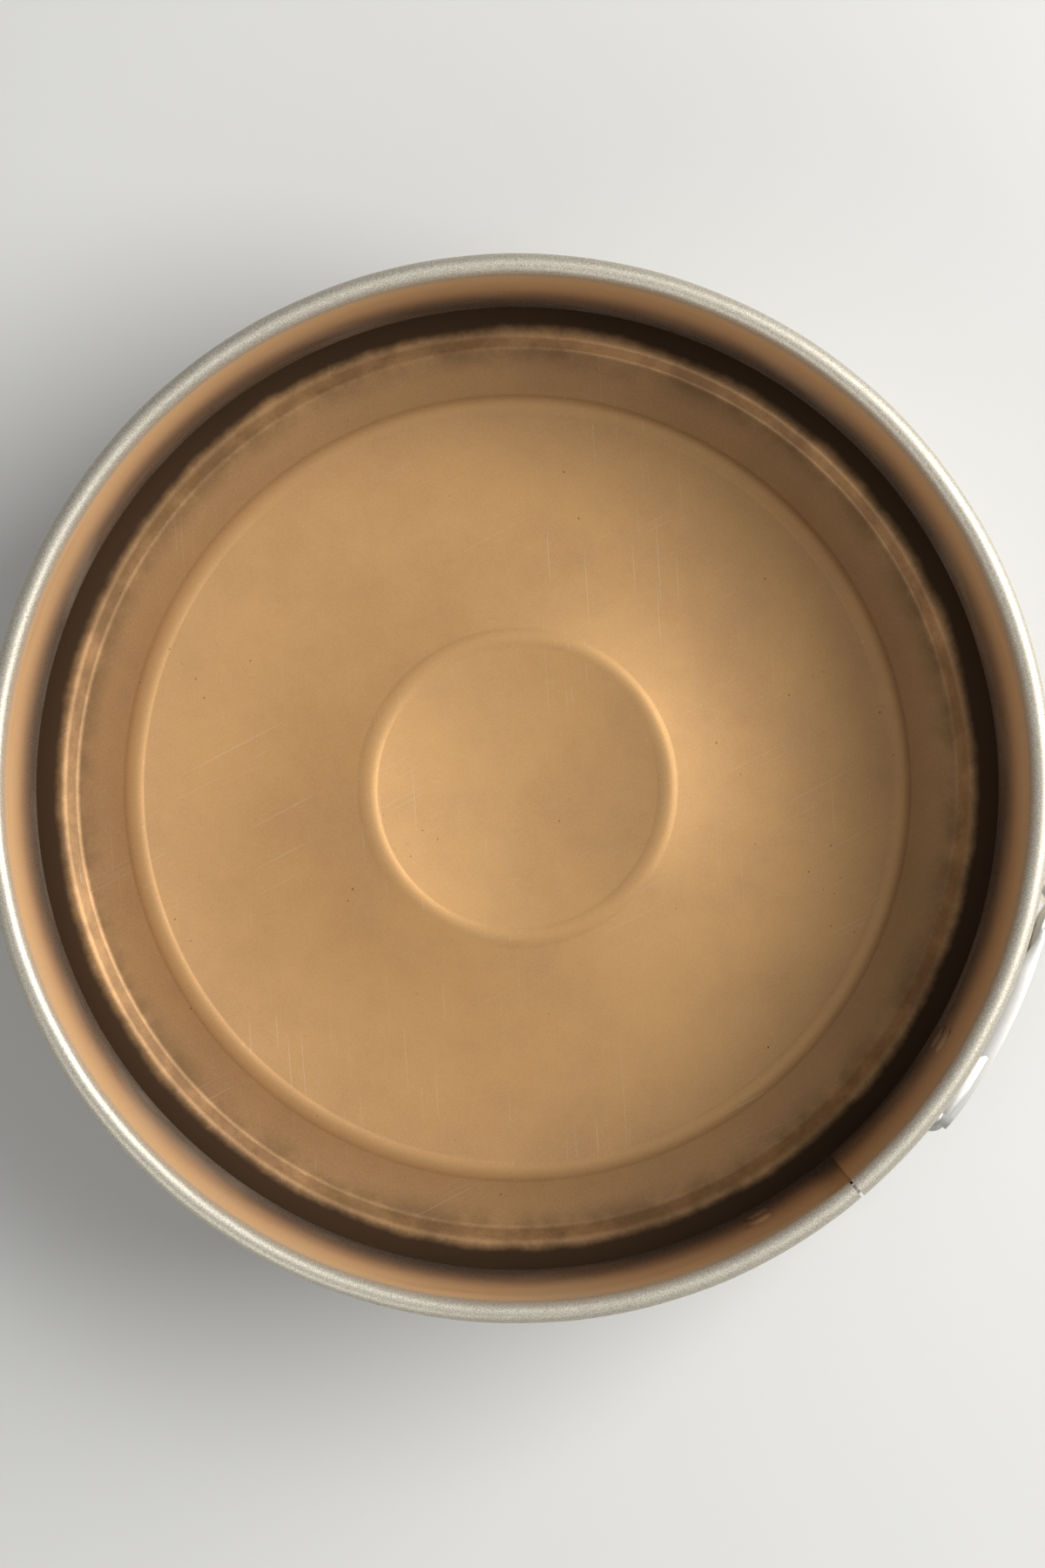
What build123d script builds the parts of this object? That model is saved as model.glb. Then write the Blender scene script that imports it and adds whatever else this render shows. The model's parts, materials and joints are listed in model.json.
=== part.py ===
from build123d import *
from math import cos, degrees, radians, sin
import os

# A round springform pan: a sheet-steel ring that springs open at an over-centre latch,
# and a loose base plate that the closed ring grips. Millimetres, +Z up, origin on the
# pan's axis at the underside of the base, latch at the front (-Y).
# Angles are measured in the XY plane from +X, counter-clockwise seen from above.

# --- ring ---
inner_radius = 114.5
sheet = 0.7
pan_height = 70.0
rim_bead_radius = 2.35
rim_wire_radius = 1.5
skirt_gap = 0.3
foot_bead_radius = 1.6
ring_foot_z = 0.4
shoulder_low_z = 4.8
shoulder_high_z = 7.0

# --- base plate ---
base_sheet = 0.8
base_radius = 117.2
base_step_in = 105.5
base_step_out = 108.5
base_border_z = 4.0

# --- the ring's two halves ---
seam_angle = -94.5
tongue_tip_angle = -85.5
tongue_root_angle = -98.0
back_angle = 94.5
hairline = 0.3
tongue_gap = 0.3
tongue_low_z = 10.0
tongue_high_z = 64.0

# --- latch ---
latch_z = 30.0
pivot_radius = 121.5
lever_pivot_angle = -83.0
catch_pivot_angle = -97.0
over_centre_angle = 5.0
bail_offset = 10.0
bail_wire_radius = 1.25
bail_half_height = 9.6
bail_bend = 2.0
pin_radius = 2.0
pin_head_radius = 2.7
pin_head_height = 0.7
running_gap = 0.06
latch_sheet = 1.2
ear_low = 4.4
ear_high = 5.5
ear_nose = 3.0
flange_low = 6.0
flange_high = 7.2
flange_nose = 3.9
handle_radius = 125.8
handle_end_angle = -60.0
handle_return = 3.0
flare_radius = 16.0
flare_turn = 42.0

# --- riveted plates ---
plate_sheet = 1.1
bracket_angles = (-84.2, -72.0)
bracket_half_height = 11.0
bracket_rivet_angle = -75.5
catch_angles = (-111.0, -99.0)
catch_half_height = 10.0
catch_rivet_angle = -105.5
hook_half_height = 6.5
rivet_radius = 1.6
rivet_head_radius = 3.0
rivet_dome_height = 1.0
rivet_flat_height = 0.6
rivet_spread = 6.0
rivet_seat = 0.05

outer_radius = inner_radius + sheet
wall_line = inner_radius + sheet / 2
skirt_line = base_radius + skirt_gap + sheet / 2
rim_line = inner_radius + rim_bead_radius
rim_z = pan_height - rim_bead_radius
plate_outer = outer_radius + plate_sheet


def polar(radius, angle, z=0.0):
    """A point at a radius and an angle about the pan's axis."""
    return Vector(radius * cos(radians(angle)), radius * sin(radians(angle)), z)


def sector(low_radius, high_radius, low_angle, high_angle, low_z, high_z):
    """A curved plate that follows the ring between two angles."""
    band = Circle(high_radius) - Circle(low_radius)
    reach = 2 * high_radius
    wedge = Polygon(
        (0, 0),
        tuple(polar(reach, low_angle))[:2],
        tuple(polar(reach, high_angle))[:2],
        align=None,
    )
    return Pos(0, 0, low_z) * extrude(band & wedge, high_z - low_z)


# ---------------------------------------------------------------- ring
def ring_profile():
    """Half section of the ring: rolled rim, wall, stepped-out skirt and rolled foot."""
    foot_line = foot_bead_radius - sheet / 2
    curl_line = rim_bead_radius - sheet / 2
    foot_z = ring_foot_z + foot_bead_radius
    wall = FilletPolyline(
        (skirt_line, foot_z),
        (skirt_line, shoulder_low_z),
        (wall_line, shoulder_high_z),
        (wall_line, rim_z),
        radius=1.0,
    )
    foot = CenterArc((skirt_line + foot_line, foot_z), foot_line, 180, 300)
    rim = CenterArc((rim_line, rim_z), curl_line, 180, -300)
    return Plane.XZ * trace(Wire([*foot.edges(), *wall.edges(), *rim.edges()]), sheet)


def arc_of(profile, low_angle, high_angle):
    """Turns a half section about the pan's axis from one angle to another."""
    return Rot(0, 0, low_angle) * revolve(profile, Axis.Z, high_angle - low_angle)


def rivet_bores(angle):
    """The two holes, one above the other, that a bracket's rivets pass through."""
    reach = 4 * plate_sheet
    return [rivet_axis(angle, level) * Cylinder(rivet_radius, 2 * reach) for level in (1, -1)]


def rivet_axis(angle, level):
    """Frame at a rivet on the wall's inner face, with its Z axis pointing outwards."""
    place = polar(inner_radius, angle, latch_z + level * rivet_spread)
    return Location(Plane(place, z_dir=polar(1, angle)))


def drilled(body, angle):
    """A body with a bracket's two rivet holes cut through it."""
    for bore in rivet_bores(angle):
        body -= bore
    return body


def ring_right():
    """The ring's fixed side, whose plain end is the inner sheet of the lap."""
    half_gap = degrees(hairline / 2 / outer_radius)
    body = arc_of(ring_profile(), seam_angle + half_gap, back_angle - half_gap)
    return drilled(body, bracket_rivet_angle)


def ring_left():
    """The ring's springing side, with the lap that runs outside the other end."""
    half_gap = degrees(hairline / 2 / outer_radius)
    body = arc_of(ring_profile(), back_angle + half_gap, 360 + seam_angle - half_gap)
    lap_radius = outer_radius + tongue_gap
    body += sector(
        lap_radius,
        lap_radius + sheet,
        tongue_root_angle,
        tongue_tip_angle,
        tongue_low_z,
        tongue_high_z,
    )
    body += sector(
        outer_radius - sheet / 2,
        lap_radius + sheet / 2,
        tongue_root_angle,
        seam_angle - 1.0,
        tongue_low_z,
        tongue_high_z,
    )
    return drilled(body, catch_rivet_angle)


def rim_wire(low_angle, high_angle):
    """The round wire that the rim is rolled over."""
    return arc_of(Plane.XZ * Pos(rim_line, rim_z) * Circle(rim_wire_radius), low_angle, high_angle)


# ---------------------------------------------------------------- base
def base_plate():
    """A pressed plate: flat middle, raised border and an edge curled under."""
    middle_z = base_sheet / 2
    border_z = base_border_z - base_sheet / 2
    curl_line = base_sheet
    curl_centre = base_radius - base_sheet / 2 - curl_line
    panel = FilletPolyline(
        (0, middle_z),
        (base_step_in, middle_z),
        (base_step_out, border_z),
        (curl_centre, border_z),
        radius=1.5,
    )
    curl = CenterArc((curl_centre, border_z - curl_line), curl_line, 90, -200)
    return revolve(Plane.XZ * trace(Wire([*panel.edges(), *curl.edges()]), base_sheet), Axis.Z)


# ---------------------------------------------------------------- latch
lever_pivot = polar(pivot_radius, lever_pivot_angle)
catch_pivot = polar(pivot_radius, catch_pivot_angle)
bail_pivot = lever_pivot + polar(bail_offset, lever_pivot_angle + 90 + over_centre_angle)


def near(angle, along, outward):
    """A point given along the ring and outwards from the pins' circle."""
    return polar(pivot_radius + outward, angle) + polar(along, angle + 90)


def raised(outline, low_z, high_z):
    """A flat outline given thickness between two heights from the latch's middle."""
    return Pos(0, 0, latch_z + low_z) * extrude(outline, high_z - low_z, dir=(0, 0, 1))


def disc(centre, radius, low_z, high_z):
    """A round slab about a vertical axis."""
    return raised(Pos(centre.X, centre.Y) * Circle(radius), low_z, high_z)


def slab(angle, corners, low_z, high_z):
    """A flat plate whose corners are given along the ring and outwards."""
    points = [near(angle, along, outward) for along, outward in corners]
    outline = Polygon(*[(point.X, point.Y) for point in points], align=None)
    return raised(outline, low_z, high_z)


def both_sides(low_z, high_z):
    """The heights of a plate above the latch's middle and of its twin below."""
    return ((low_z, high_z), (-high_z, -low_z))


def riveted_plate(angles, half_height):
    """A curved plate on the outside of the wall, before its rivet holes are cut."""
    return sector(outer_radius, plate_outer, *angles, latch_z - half_height, latch_z + half_height)


def lever_bracket():
    """The folded bracket whose two ears carry the lever's pin."""
    body = riveted_plate(bracket_angles, bracket_half_height)
    ear = ((-1.0, -5.6), (-ear_nose, 0.0), (ear_nose, 0.0), (7.5, -5.8))
    for low_z, high_z in both_sides(ear_low, ear_high):
        body += slab(lever_pivot_angle, ear, low_z, high_z)
        body += disc(lever_pivot, ear_nose, low_z, high_z)
    body -= disc(lever_pivot, pin_radius, -flange_high, flange_high)
    return drilled(body, bracket_rivet_angle)


def lever_pin():
    """The peened pin that the lever turns on."""
    shoulder = flange_high + 0.1
    pin = disc(lever_pivot, pin_radius, -shoulder, shoulder)
    for low_z, high_z in both_sides(shoulder, shoulder + pin_head_height):
        pin += disc(lever_pivot, pin_head_radius, low_z, high_z)
    return pin


def lever():
    """The channel-shaped lever: outer web, two flanges with pin holes, flared tip."""
    web_start = lever_pivot_angle - 0.4
    run = CenterArc((0, 0), handle_radius, web_start, handle_end_angle - web_start)
    flare = JernArc(run @ 1, run % 1, flare_radius, -flare_turn)
    web_line = Wire([*run.edges(), *flare.edges()])
    body = raised(trace(web_line, latch_sheet), -flange_high, flange_high)
    inner_face = handle_radius - latch_sheet / 4
    cheek = ((0.0, 4.2), (0.0, -flange_nose), (10.0, -3.4), (18.0, 0.2), (18.0, 2.2), (9.0, 3.8))
    for low_z, high_z in both_sides(flange_low, flange_high):
        body += slab(lever_pivot_angle, cheek, low_z, high_z)
        body += disc(lever_pivot, flange_nose, low_z, high_z)
        body += sector(
            inner_face - handle_return,
            inner_face,
            lever_pivot_angle + 1.0,
            handle_end_angle,
            latch_z + low_z,
            latch_z + high_z,
        )
    body -= disc(lever_pivot, pin_radius + running_gap, -flange_high, flange_high)
    body -= disc(bail_pivot, bail_wire_radius + running_gap, -flange_high, flange_high)
    return body


def bail():
    """The wire loop that joins the lever to the catch, with its ends bent inwards."""
    reach = catch_pivot - bail_pivot
    middle = bail_pivot + Vector(0, 0, latch_z)
    # In this plane x runs from the lever to the catch and y runs down.
    plane = Plane(middle, x_dir=reach.normalized(), z_dir=reach.cross(Vector(0, 0, 1)))
    tip = flange_low - 0.1
    route = FilletPolyline(
        (0, tip),
        (0, bail_half_height),
        (reach.length, bail_half_height),
        (reach.length, -bail_half_height),
        (0, -bail_half_height),
        (0, -tip),
        radius=bail_bend,
    )
    path = plane * Wire(route.edges())
    section = Plane(path @ 0, z_dir=path % 0) * Circle(bail_wire_radius)
    return sweep(section, path)


def catch_hook():
    """The catch: a riveted plate whose end is folded into a hook for the wire."""
    body = riveted_plate(catch_angles, catch_half_height)
    fold = ((-6.4, -5.7), (-4.0, -5.5), (-2.4, -2.9), (0.9, -2.55), (2.9, 0.6))
    points = [near(catch_pivot_angle, along, outward) for along, outward in fold]
    line = Polyline(*[(point.X, point.Y) for point in points])
    body += raised(trace(Wire(line.edges()), latch_sheet), -hook_half_height, hook_half_height)
    return drilled(body, catch_rivet_angle)


def rivet(angle, level):
    """A rivet with a low flat head inside the pan and a domed head on the bracket."""
    grip = sheet + plate_sheet
    shank = Pos(0, 0, (grip - rivet_seat) / 2) * Cylinder(rivet_radius, grip + rivet_seat)
    flat = Pos(0, 0, -rivet_seat - rivet_flat_height / 2) * Cylinder(rivet_head_radius, rivet_flat_height)
    dome = Pos(0, 0, grip + rivet_dome_height / 2) * Cylinder(rivet_head_radius, rivet_dome_height)
    dome = fillet(dome.edges().sort_by(Axis.Z)[-1], 0.8 * rivet_dome_height)
    flat = chamfer(flat.edges().sort_by(Axis.Z)[0], rivet_flat_height / 2)
    return rivet_axis(angle, level) * (shank + flat + dome)


wire_gap = degrees(0.6 / rim_line)
nodes = {
    "base_plate": base_plate(),
    "ring_right": ring_right(),
    "ring_left": ring_left(),
    "rim_wire_right": rim_wire(seam_angle + wire_gap, back_angle - wire_gap),
    "rim_wire_left": rim_wire(back_angle + wire_gap, 360 + seam_angle - wire_gap),
    "lever_bracket": lever_bracket(),
    "lever_pin": lever_pin(),
    "lever": lever(),
    "bail": bail(),
    "catch_hook": catch_hook(),
}
for plate, plate_angle in (("bracket", bracket_rivet_angle), ("catch", catch_rivet_angle)):
    for place, level in (("upper", 1), ("lower", -1)):
        nodes[f"{plate}_rivet_{place}"] = rivet(plate_angle, level)

os.makedirs("parts", exist_ok=True)
for name, shape in nodes.items():
    export_step(shape, f"parts/{name}.step")
    print(name, round(shape.volume, 1))
print("lever pivot", lever_pivot, "bail pivot", bail_pivot, "catch pivot", catch_pivot)
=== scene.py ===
# %% [markdown]
# # A springform pan
# A springform pan is bent sheet metal: one strip of steel rolled into a ring, a loose
# pressed bottom, and a latch that pulls the strip's two ends together. This lesson makes
# each of those the way a tinsmith would: draw the section of the sheet as a thin line,
# turn it round the pan's axis, and only then give it the sheet's thickness.
#
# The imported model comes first. It says where every part is and how it moves, so each
# piece below takes its sizes from it and rides on one of its bodies.

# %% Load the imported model
import json
from math import atan2, cos, degrees, hypot, pi, radians, sin

import bmesh
import bpy
from mathutils import Matrix, Vector


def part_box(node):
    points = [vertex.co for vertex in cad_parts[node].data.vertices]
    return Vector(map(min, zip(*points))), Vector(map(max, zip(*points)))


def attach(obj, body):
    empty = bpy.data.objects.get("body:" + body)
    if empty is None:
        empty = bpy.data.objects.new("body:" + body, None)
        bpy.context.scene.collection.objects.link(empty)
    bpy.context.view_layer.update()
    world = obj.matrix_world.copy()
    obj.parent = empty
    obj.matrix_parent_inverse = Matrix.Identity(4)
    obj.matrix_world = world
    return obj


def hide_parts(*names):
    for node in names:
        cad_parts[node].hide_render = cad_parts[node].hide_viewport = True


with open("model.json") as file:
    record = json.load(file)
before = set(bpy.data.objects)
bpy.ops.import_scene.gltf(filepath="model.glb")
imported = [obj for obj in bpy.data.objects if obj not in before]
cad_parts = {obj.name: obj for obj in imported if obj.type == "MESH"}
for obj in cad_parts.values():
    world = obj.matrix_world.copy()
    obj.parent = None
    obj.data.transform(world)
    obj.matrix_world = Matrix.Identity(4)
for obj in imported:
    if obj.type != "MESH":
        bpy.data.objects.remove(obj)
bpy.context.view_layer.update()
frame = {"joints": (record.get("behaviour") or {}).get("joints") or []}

mm = 0.001

# %% [markdown]
# ## Sizes
# Nothing is measured twice. The wire inside the rim gives the rim's centre line, the
# ring's box gives the height and the rolled foot, and the joints give the latch's pins.

# %% Sizes from the frame
ring_low, ring_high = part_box("ring_right")
wire_low, wire_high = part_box("rim_wire_right")
base_low, base_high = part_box("base_plate")

sheet = 0.7 * mm
wire_radius = (wire_high.z - wire_low.z) / 2
rim_z = (wire_high.z + wire_low.z) / 2
rim_radius = ring_high.z - rim_z
rim_line = wire_high.x - wire_radius
wall_line = rim_line - rim_radius + sheet / 2
foot_radius = 1.6 * mm
foot_line = ring_high.x - foot_radius
foot_z = ring_low.z + foot_radius
skirt_line = foot_line - foot_radius + sheet / 2
base_radius = base_high.x
lines = {"wall": wall_line, "rim": rim_line, "foot": foot_line}
print({name: round(line / mm, 2) for name, line in lines.items()})

# %% Angles round the ring
seam_angle = -94.5
seam_gap = 0.17
lap_tip_angle = -85.5
back_angle = 94.5


def polar(radius, angle, z=0.0):
    """A point at a radius and an angle in degrees about the pan's axis."""
    return Vector((radius * cos(radians(angle)), radius * sin(radians(angle)), z))


def angle_of(point):
    """The angle of a point about the pan's axis, in degrees."""
    return degrees(atan2(point.y, point.x))


def ease(value, low, high):
    """0 below low, 1 above high and a smooth step between them."""
    share = max(0.0, min(1.0, (value - low) / (high - low)))
    return share * share * (3 - 2 * share)


# %% [markdown]
# ## Bench tools
# Sheet metal is easy to describe as a line that is pushed straight, or rolled round a
# point. Two helpers do that with the extrude and spin operators, one vertex at a time,
# so a rolled rim is a real arc and not a list of points typed by hand. A third turns the
# finished line into a ring. The rest are for the open sheet that this leaves: which side
# is its front, how thick it is, and how its corners are rounded.

# %% Line and ring helpers
def push(work, tip, target):
    """Carries the line straight on from a vertex to a point."""
    made = bmesh.ops.extrude_vert_indiv(work, verts=[tip])["verts"][0]
    made.co = target
    return made


def roll(work, tip, centre, angle, steps, axis=(0, 1, 0)):
    """Carries the line on from a vertex along an arc about a centre, in degrees."""
    turned = bmesh.ops.spin(
        work, geom=[tip], cent=centre, axis=axis, angle=radians(angle), steps=steps
    )
    return verts_of(turned["geom_last"])[0]


def verts_of(geometry):
    """The vertices among a mixed list of mesh parts."""
    return [part for part in geometry if isinstance(part, bmesh.types.BMVert)]


def edges_of(geometry):
    """The edges among a mixed list of mesh parts."""
    return [part for part in geometry if isinstance(part, bmesh.types.BMEdge)]


def turn_about_axis(work, geometry, angle, steps, merge=False):
    """Spins a line round the pan's axis."""
    return bmesh.ops.spin(
        work,
        geom=geometry,
        cent=(0, 0, 0),
        axis=(0, 0, 1),
        angle=radians(angle),
        steps=steps,
        use_merge=merge,
    )


def face_outwards(work, towards):
    """Turns every face of an open sheet so that its front looks the way asked."""
    bmesh.ops.recalc_face_normals(work, faces=work.faces)
    vote = sum(face.normal.dot(towards(face.calc_center_median())) for face in work.faces)
    if vote < 0:
        bmesh.ops.reverse_faces(work, faces=work.faces)


def round_corners(work, corners, offset, segments):
    """Rounds corners of an open sheet, seen flat on."""
    bmesh.ops.bevel(
        work,
        geom=corners,
        offset=offset,
        segments=segments,
        profile=0.5,
        affect="VERTICES",
        material=-1,
    )


def finish_piece(work, name, smooth_angle=40):
    """Makes the bmesh an object at the origin, shaded smooth up to an angle."""
    mesh = bpy.data.meshes.new(name)
    work.to_mesh(mesh)
    work.free()
    piece = bpy.data.objects.new(name, mesh)
    bpy.context.scene.collection.objects.link(piece)
    mesh.polygons.foreach_set("use_smooth", [True] * len(mesh.polygons))
    mesh.set_sharp_from_angle(angle=radians(smooth_angle))
    print(name, len(mesh.polygons), "faces")
    return piece


def settle(piece, smooth_angle=40):
    """Makes the modifiers' work the piece's own mesh, so that its corners can be marked."""
    graph = bpy.context.evaluated_depsgraph_get()
    mesh = bpy.data.meshes.new_from_object(piece.evaluated_get(graph))
    piece.modifiers.clear()
    piece.data = mesh
    mesh.set_sharp_from_angle(angle=radians(smooth_angle))


def thicken(piece, thickness, inside=0, edge=0):
    """Gives an open sheet its thickness, with its own finish inside and on its cut edge."""
    for _ in range(edge + 1):
        piece.data.materials.append(None)
    solid = piece.modifiers.new("sheet", "SOLIDIFY")
    solid.thickness = thickness
    solid.offset = 0.0
    solid.use_even_offset = True
    solid.material_offset = inside
    solid.material_offset_rim = edge
    settle(piece)


def soften(piece, width, segments=2, angle=35):
    """Rounds the sharp edges of a thick piece."""
    bevel = piece.modifiers.new("edges", "BEVEL")
    bevel.width = width
    bevel.segments = segments
    bevel.limit_method = "ANGLE"
    bevel.angle_limit = radians(angle)
    settle(piece)


# %% [markdown]
# ## The ring
# The ring's section is rolled outwards at the top over a wire, which is why the rim is
# round and stiff, and rolled again at the foot. Between them the wall steps out into a
# skirt that grips the base. The section could be swept along a circle curve, but a spin
# keeps every vertex's place known, and the two ends need to be shaped one by one.

# %% The section of the ring
shoulder_low = 4.8 * mm
shoulder_high = 7.0 * mm
fold = 1.0 * mm
curl_turn = 300
foot_steps = 14
rim_steps = 20
wall_rows = 12


def ring_section(work):
    """Draws the half section in the XZ plane, from the foot's curl up to the rim's."""
    tip = work.verts.new((skirt_line, 0, foot_z))
    foot_centre = Vector((foot_line, 0, foot_z))
    roll(work, tip, foot_centre, -curl_turn, foot_steps)
    slope = atan2(shoulder_high - shoulder_low, skirt_line - wall_line)
    lead = fold * sin(slope)
    tip = push(work, tip, Vector((skirt_line, 0, shoulder_low - lead)))
    low = Vector((skirt_line, 0, shoulder_low))
    high = Vector((wall_line, 0, shoulder_high))
    along = (high - low).normalized()
    tip = push(work, tip, low + along * lead / 3 + Vector((0, 0, -lead / 3)))
    tip = push(work, tip, low + along * lead)
    tip = push(work, tip, high - along * lead)
    tip = push(work, tip, high - along * lead / 3 + Vector((0, 0, lead / 3)))
    tip = push(work, tip, Vector((wall_line, 0, shoulder_high + lead)))
    for row in range(1, wall_rows + 1):
        height = shoulder_high + lead + (rim_z - shoulder_high - lead) * row / wall_rows
        tip = push(work, tip, Vector((wall_line, 0, height)))
    roll(work, tip, Vector((rim_line, 0, rim_z)), curl_turn, rim_steps)


trial = bmesh.new()
ring_section(trial)
print("section points", len(trial.verts), "top at", round(max(v.co.z for v in trial.verts) / mm, 2))
trial.free()

# %% [markdown]
# No rolled rim is perfect. The rollers leave a faint swell every few centimetres, and
# where the two ends meet, the end that goes under is nipped a little smaller so that it
# tucks in beside the other. Both are fractions of a millimetre, and both are what makes
# the highlight along the rim waver as it does on real tinware.

# %% Rolling marks and the nipped end
degrees_per_step = 1.25


def rim_share(point):
    """1 on the rolled rim, 0 on the wall below it."""
    return ease(point.z, rim_z - rim_radius - 1.5 * mm, rim_z - rim_radius + 0.5 * mm)


def rolling_marks(point):
    """How far the rollers pushed the sheet in or out at a point."""
    turn = atan2(point.y, point.x)
    swell = sin(9 * turn + 0.7) + 0.7 * sin(23 * turn + 2.1) + 0.45 * sin(41 * turn)
    wall_bow = sin(5 * turn + 1.3) * sin(pi * point.z / rim_z)
    return 0.035 * mm * swell * rim_share(point) + 0.05 * mm * wall_bow * (1 - rim_share(point))


def nip_rim(point, share):
    """Draws a point of the rim in towards the rim's own centre line."""
    centre = polar(rim_line, angle_of(point), rim_z)
    return centre + (point - centre) * (1 - share)


def press_ring(work, end_angle, nip):
    """Applies the marks, and nips the rim near one end of the strip."""
    for vert in work.verts:
        radial = Vector((vert.co.x, vert.co.y, 0)).normalized()
        vert.co += radial * rolling_marks(vert.co)
        away = abs((angle_of(vert.co) - end_angle + 180) % 360 - 180)
        vert.co = nip_rim(vert.co, nip * (1 - ease(away, 0.3, 2.6)) * rim_share(vert.co))


# %% The fixed side of the ring
def spun_ring(start, stop):
    """A bmesh of the ring's section turned from one angle to another."""
    work = bmesh.new()
    ring_section(work)
    place = Matrix.Rotation(radians(start), 3, "Z")
    bmesh.ops.rotate(work, verts=work.verts, cent=(0, 0, 0), matrix=place)
    steps = round((stop - start) / degrees_per_step)
    spun = turn_about_axis(work, work.verts[:] + work.edges[:], stop - start, steps)
    return work, spun["geom_last"]


def outwards(point):
    """The direction away from the pan's axis."""
    return Vector((point.x, point.y, 0))


def outwards_below_rim(point):
    """The same, but nothing on the rim, where the sheet turns over."""
    return outwards(point) if point.z < rim_z - 4 * mm else Vector()


work, _ = spun_ring(seam_angle + seam_gap, back_angle)
press_ring(work, seam_angle, 0.0)
face_outwards(work, outwards_below_rim)
ring_right = finish_piece(work, "ring_right_steel")
thicken(ring_right, sheet, inside=1, edge=2)
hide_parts("ring_right")

# %% [markdown]
# The springing side is the same strip seen from its other end. Its wall runs on past the
# seam as a plain tongue that lies outside the fixed side, so it has to step out by one
# sheet's thickness first. Extending only the wall's edges with another spin makes the
# tongue, and a smooth push outwards makes the step.

# %% The springing side and its lap
lap_low = 10 * mm
lap_high = 64 * mm
lap_fade = 4 * mm
lap_step = sheet + 0.3 * mm


def lap_push(point):
    """How far the lap stands out at a point: none on the rim, skirt and open wall."""
    along = ease(angle_of(point) % 360 - 360, seam_angle - 1.2, seam_angle - 4.8)
    up = ease(point.z, lap_low - lap_fade, lap_low)
    down = 1 - ease(point.z, lap_high - 1 * mm, rim_z - rim_radius)
    return lap_step * (1 - along) * up * down


def on_lap(edge):
    """True for the wall's edges that the tongue grows from."""
    return all(lap_low - lap_fade < vert.co.z < lap_high + 1 * mm for vert in edge.verts)


work, last = spun_ring(back_angle, 360 + seam_angle - seam_gap)
press_ring(work, seam_angle, 0.06)
end_edges = [edge for edge in edges_of(last) if on_lap(edge)]
end_verts = list({vert for edge in end_edges for vert in edge.verts})
turn_about_axis(work, end_verts + end_edges, lap_tip_angle - seam_angle + seam_gap, 8)
for vert in work.verts:
    if vert.co.x > -30 * mm and vert.co.y < 0:
        vert.co += outwards(vert.co).normalized() * lap_push(vert.co)
face_outwards(work, outwards_below_rim)
ring_left = finish_piece(work, "ring_left_steel")
thicken(ring_left, sheet, inside=1, edge=2)
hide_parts("ring_left")

# %% [markdown]
# The wire in the rim is only seen where the latch is open and the ends stand apart, but
# it is there, so it is made: a small circle turned round the same way.

# %% The wire in the rim
def rim_wire(name, start, stop):
    """A length of round wire along the rim's centre line, with flat cut ends."""
    work = bmesh.new()
    place = Matrix.Rotation(radians(start), 4, "Z") @ Matrix.Translation((rim_line, 0, rim_z))
    bmesh.ops.create_circle(
        work,
        cap_ends=True,
        segments=14,
        radius=wire_radius,
        matrix=place @ Matrix.Rotation(pi / 2, 4, "X"),
    )
    disc = work.verts[:] + work.edges[:] + work.faces[:]
    turn_about_axis(work, disc, stop - start, round((stop - start) / 2))
    bmesh.ops.remove_doubles(work, verts=work.verts, dist=0.001 * mm)
    bmesh.ops.recalc_face_normals(work, faces=work.faces)
    return finish_piece(work, name)


wire_gap = 0.3
wire_right = rim_wire("rim_wire_right_steel", seam_angle + wire_gap, back_angle)
wire_left = rim_wire("rim_wire_left_steel", back_angle, 360 + seam_angle - wire_gap)
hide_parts("rim_wire_right")
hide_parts("rim_wire_left")

# %% [markdown]
# ## The base
# A flat disc of thin steel would drum and warp in the oven, so the base is pressed: two
# low ribs, a raised border, and an edge curled under. It is all one line, drawn from the
# axis outwards and turned once. A rib is a shallow arc, so its height and its width give
# the arc's radius.

# %% The base's section
base_sheet = 0.8 * mm
panel_z = base_low.z + base_sheet / 2
border_z = base_high.z - base_sheet / 2
step_in = 105.5 * mm
step_out = 108.5 * mm
curl_line = base_radius - 1.5 * base_sheet
rib_rise = 0.45 * mm
rib_half = 2.6 * mm
rib_lines = (36 * mm, 92 * mm)


def rib(work, tip, middle):
    """Carries the line flat to a rib, over it and down again."""
    tip = push(work, tip, Vector((middle - rib_half, 0, panel_z)))
    radius = (rib_half**2 + rib_rise**2) / (2 * rib_rise)
    half_turn = degrees(atan2(rib_half, radius - rib_rise))
    return roll(work, tip, Vector((middle, 0, panel_z + rib_rise - radius)), 2 * half_turn, 10)


work = bmesh.new()
tip = work.verts.new((0, 0, panel_z))
for middle in rib_lines:
    tip = rib(work, tip, middle)
step_corners = (
    (step_in - 0.8 * mm, panel_z),
    (step_in, panel_z + 0.1 * mm),
    (step_in + 0.7 * mm, panel_z + 0.6 * mm),
    (step_out - 0.7 * mm, border_z - 0.6 * mm),
    (step_out, border_z - 0.1 * mm),
    (step_out + 0.8 * mm, border_z),
    (curl_line, border_z),
)
for radius, height in step_corners:
    tip = push(work, tip, Vector((radius, 0, height)))
roll(work, tip, Vector((curl_line, 0, border_z - base_sheet)), 200, 12)

# %% The base, turned and thickened
def up_inside_curl(point):
    """Straight up on the disc, and nothing where its edge curls under."""
    return Vector((0, 0, hypot(point.x, point.y) < curl_line))


turn_about_axis(work, work.verts[:] + work.edges[:], 360, 240, merge=True)
bmesh.ops.remove_doubles(work, verts=work.verts, dist=0.001 * mm)
face_outwards(work, up_inside_curl)
base = finish_piece(work, "base_plate_steel")
thicken(base, base_sheet, inside=1, edge=2)
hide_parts("base_plate")

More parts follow.
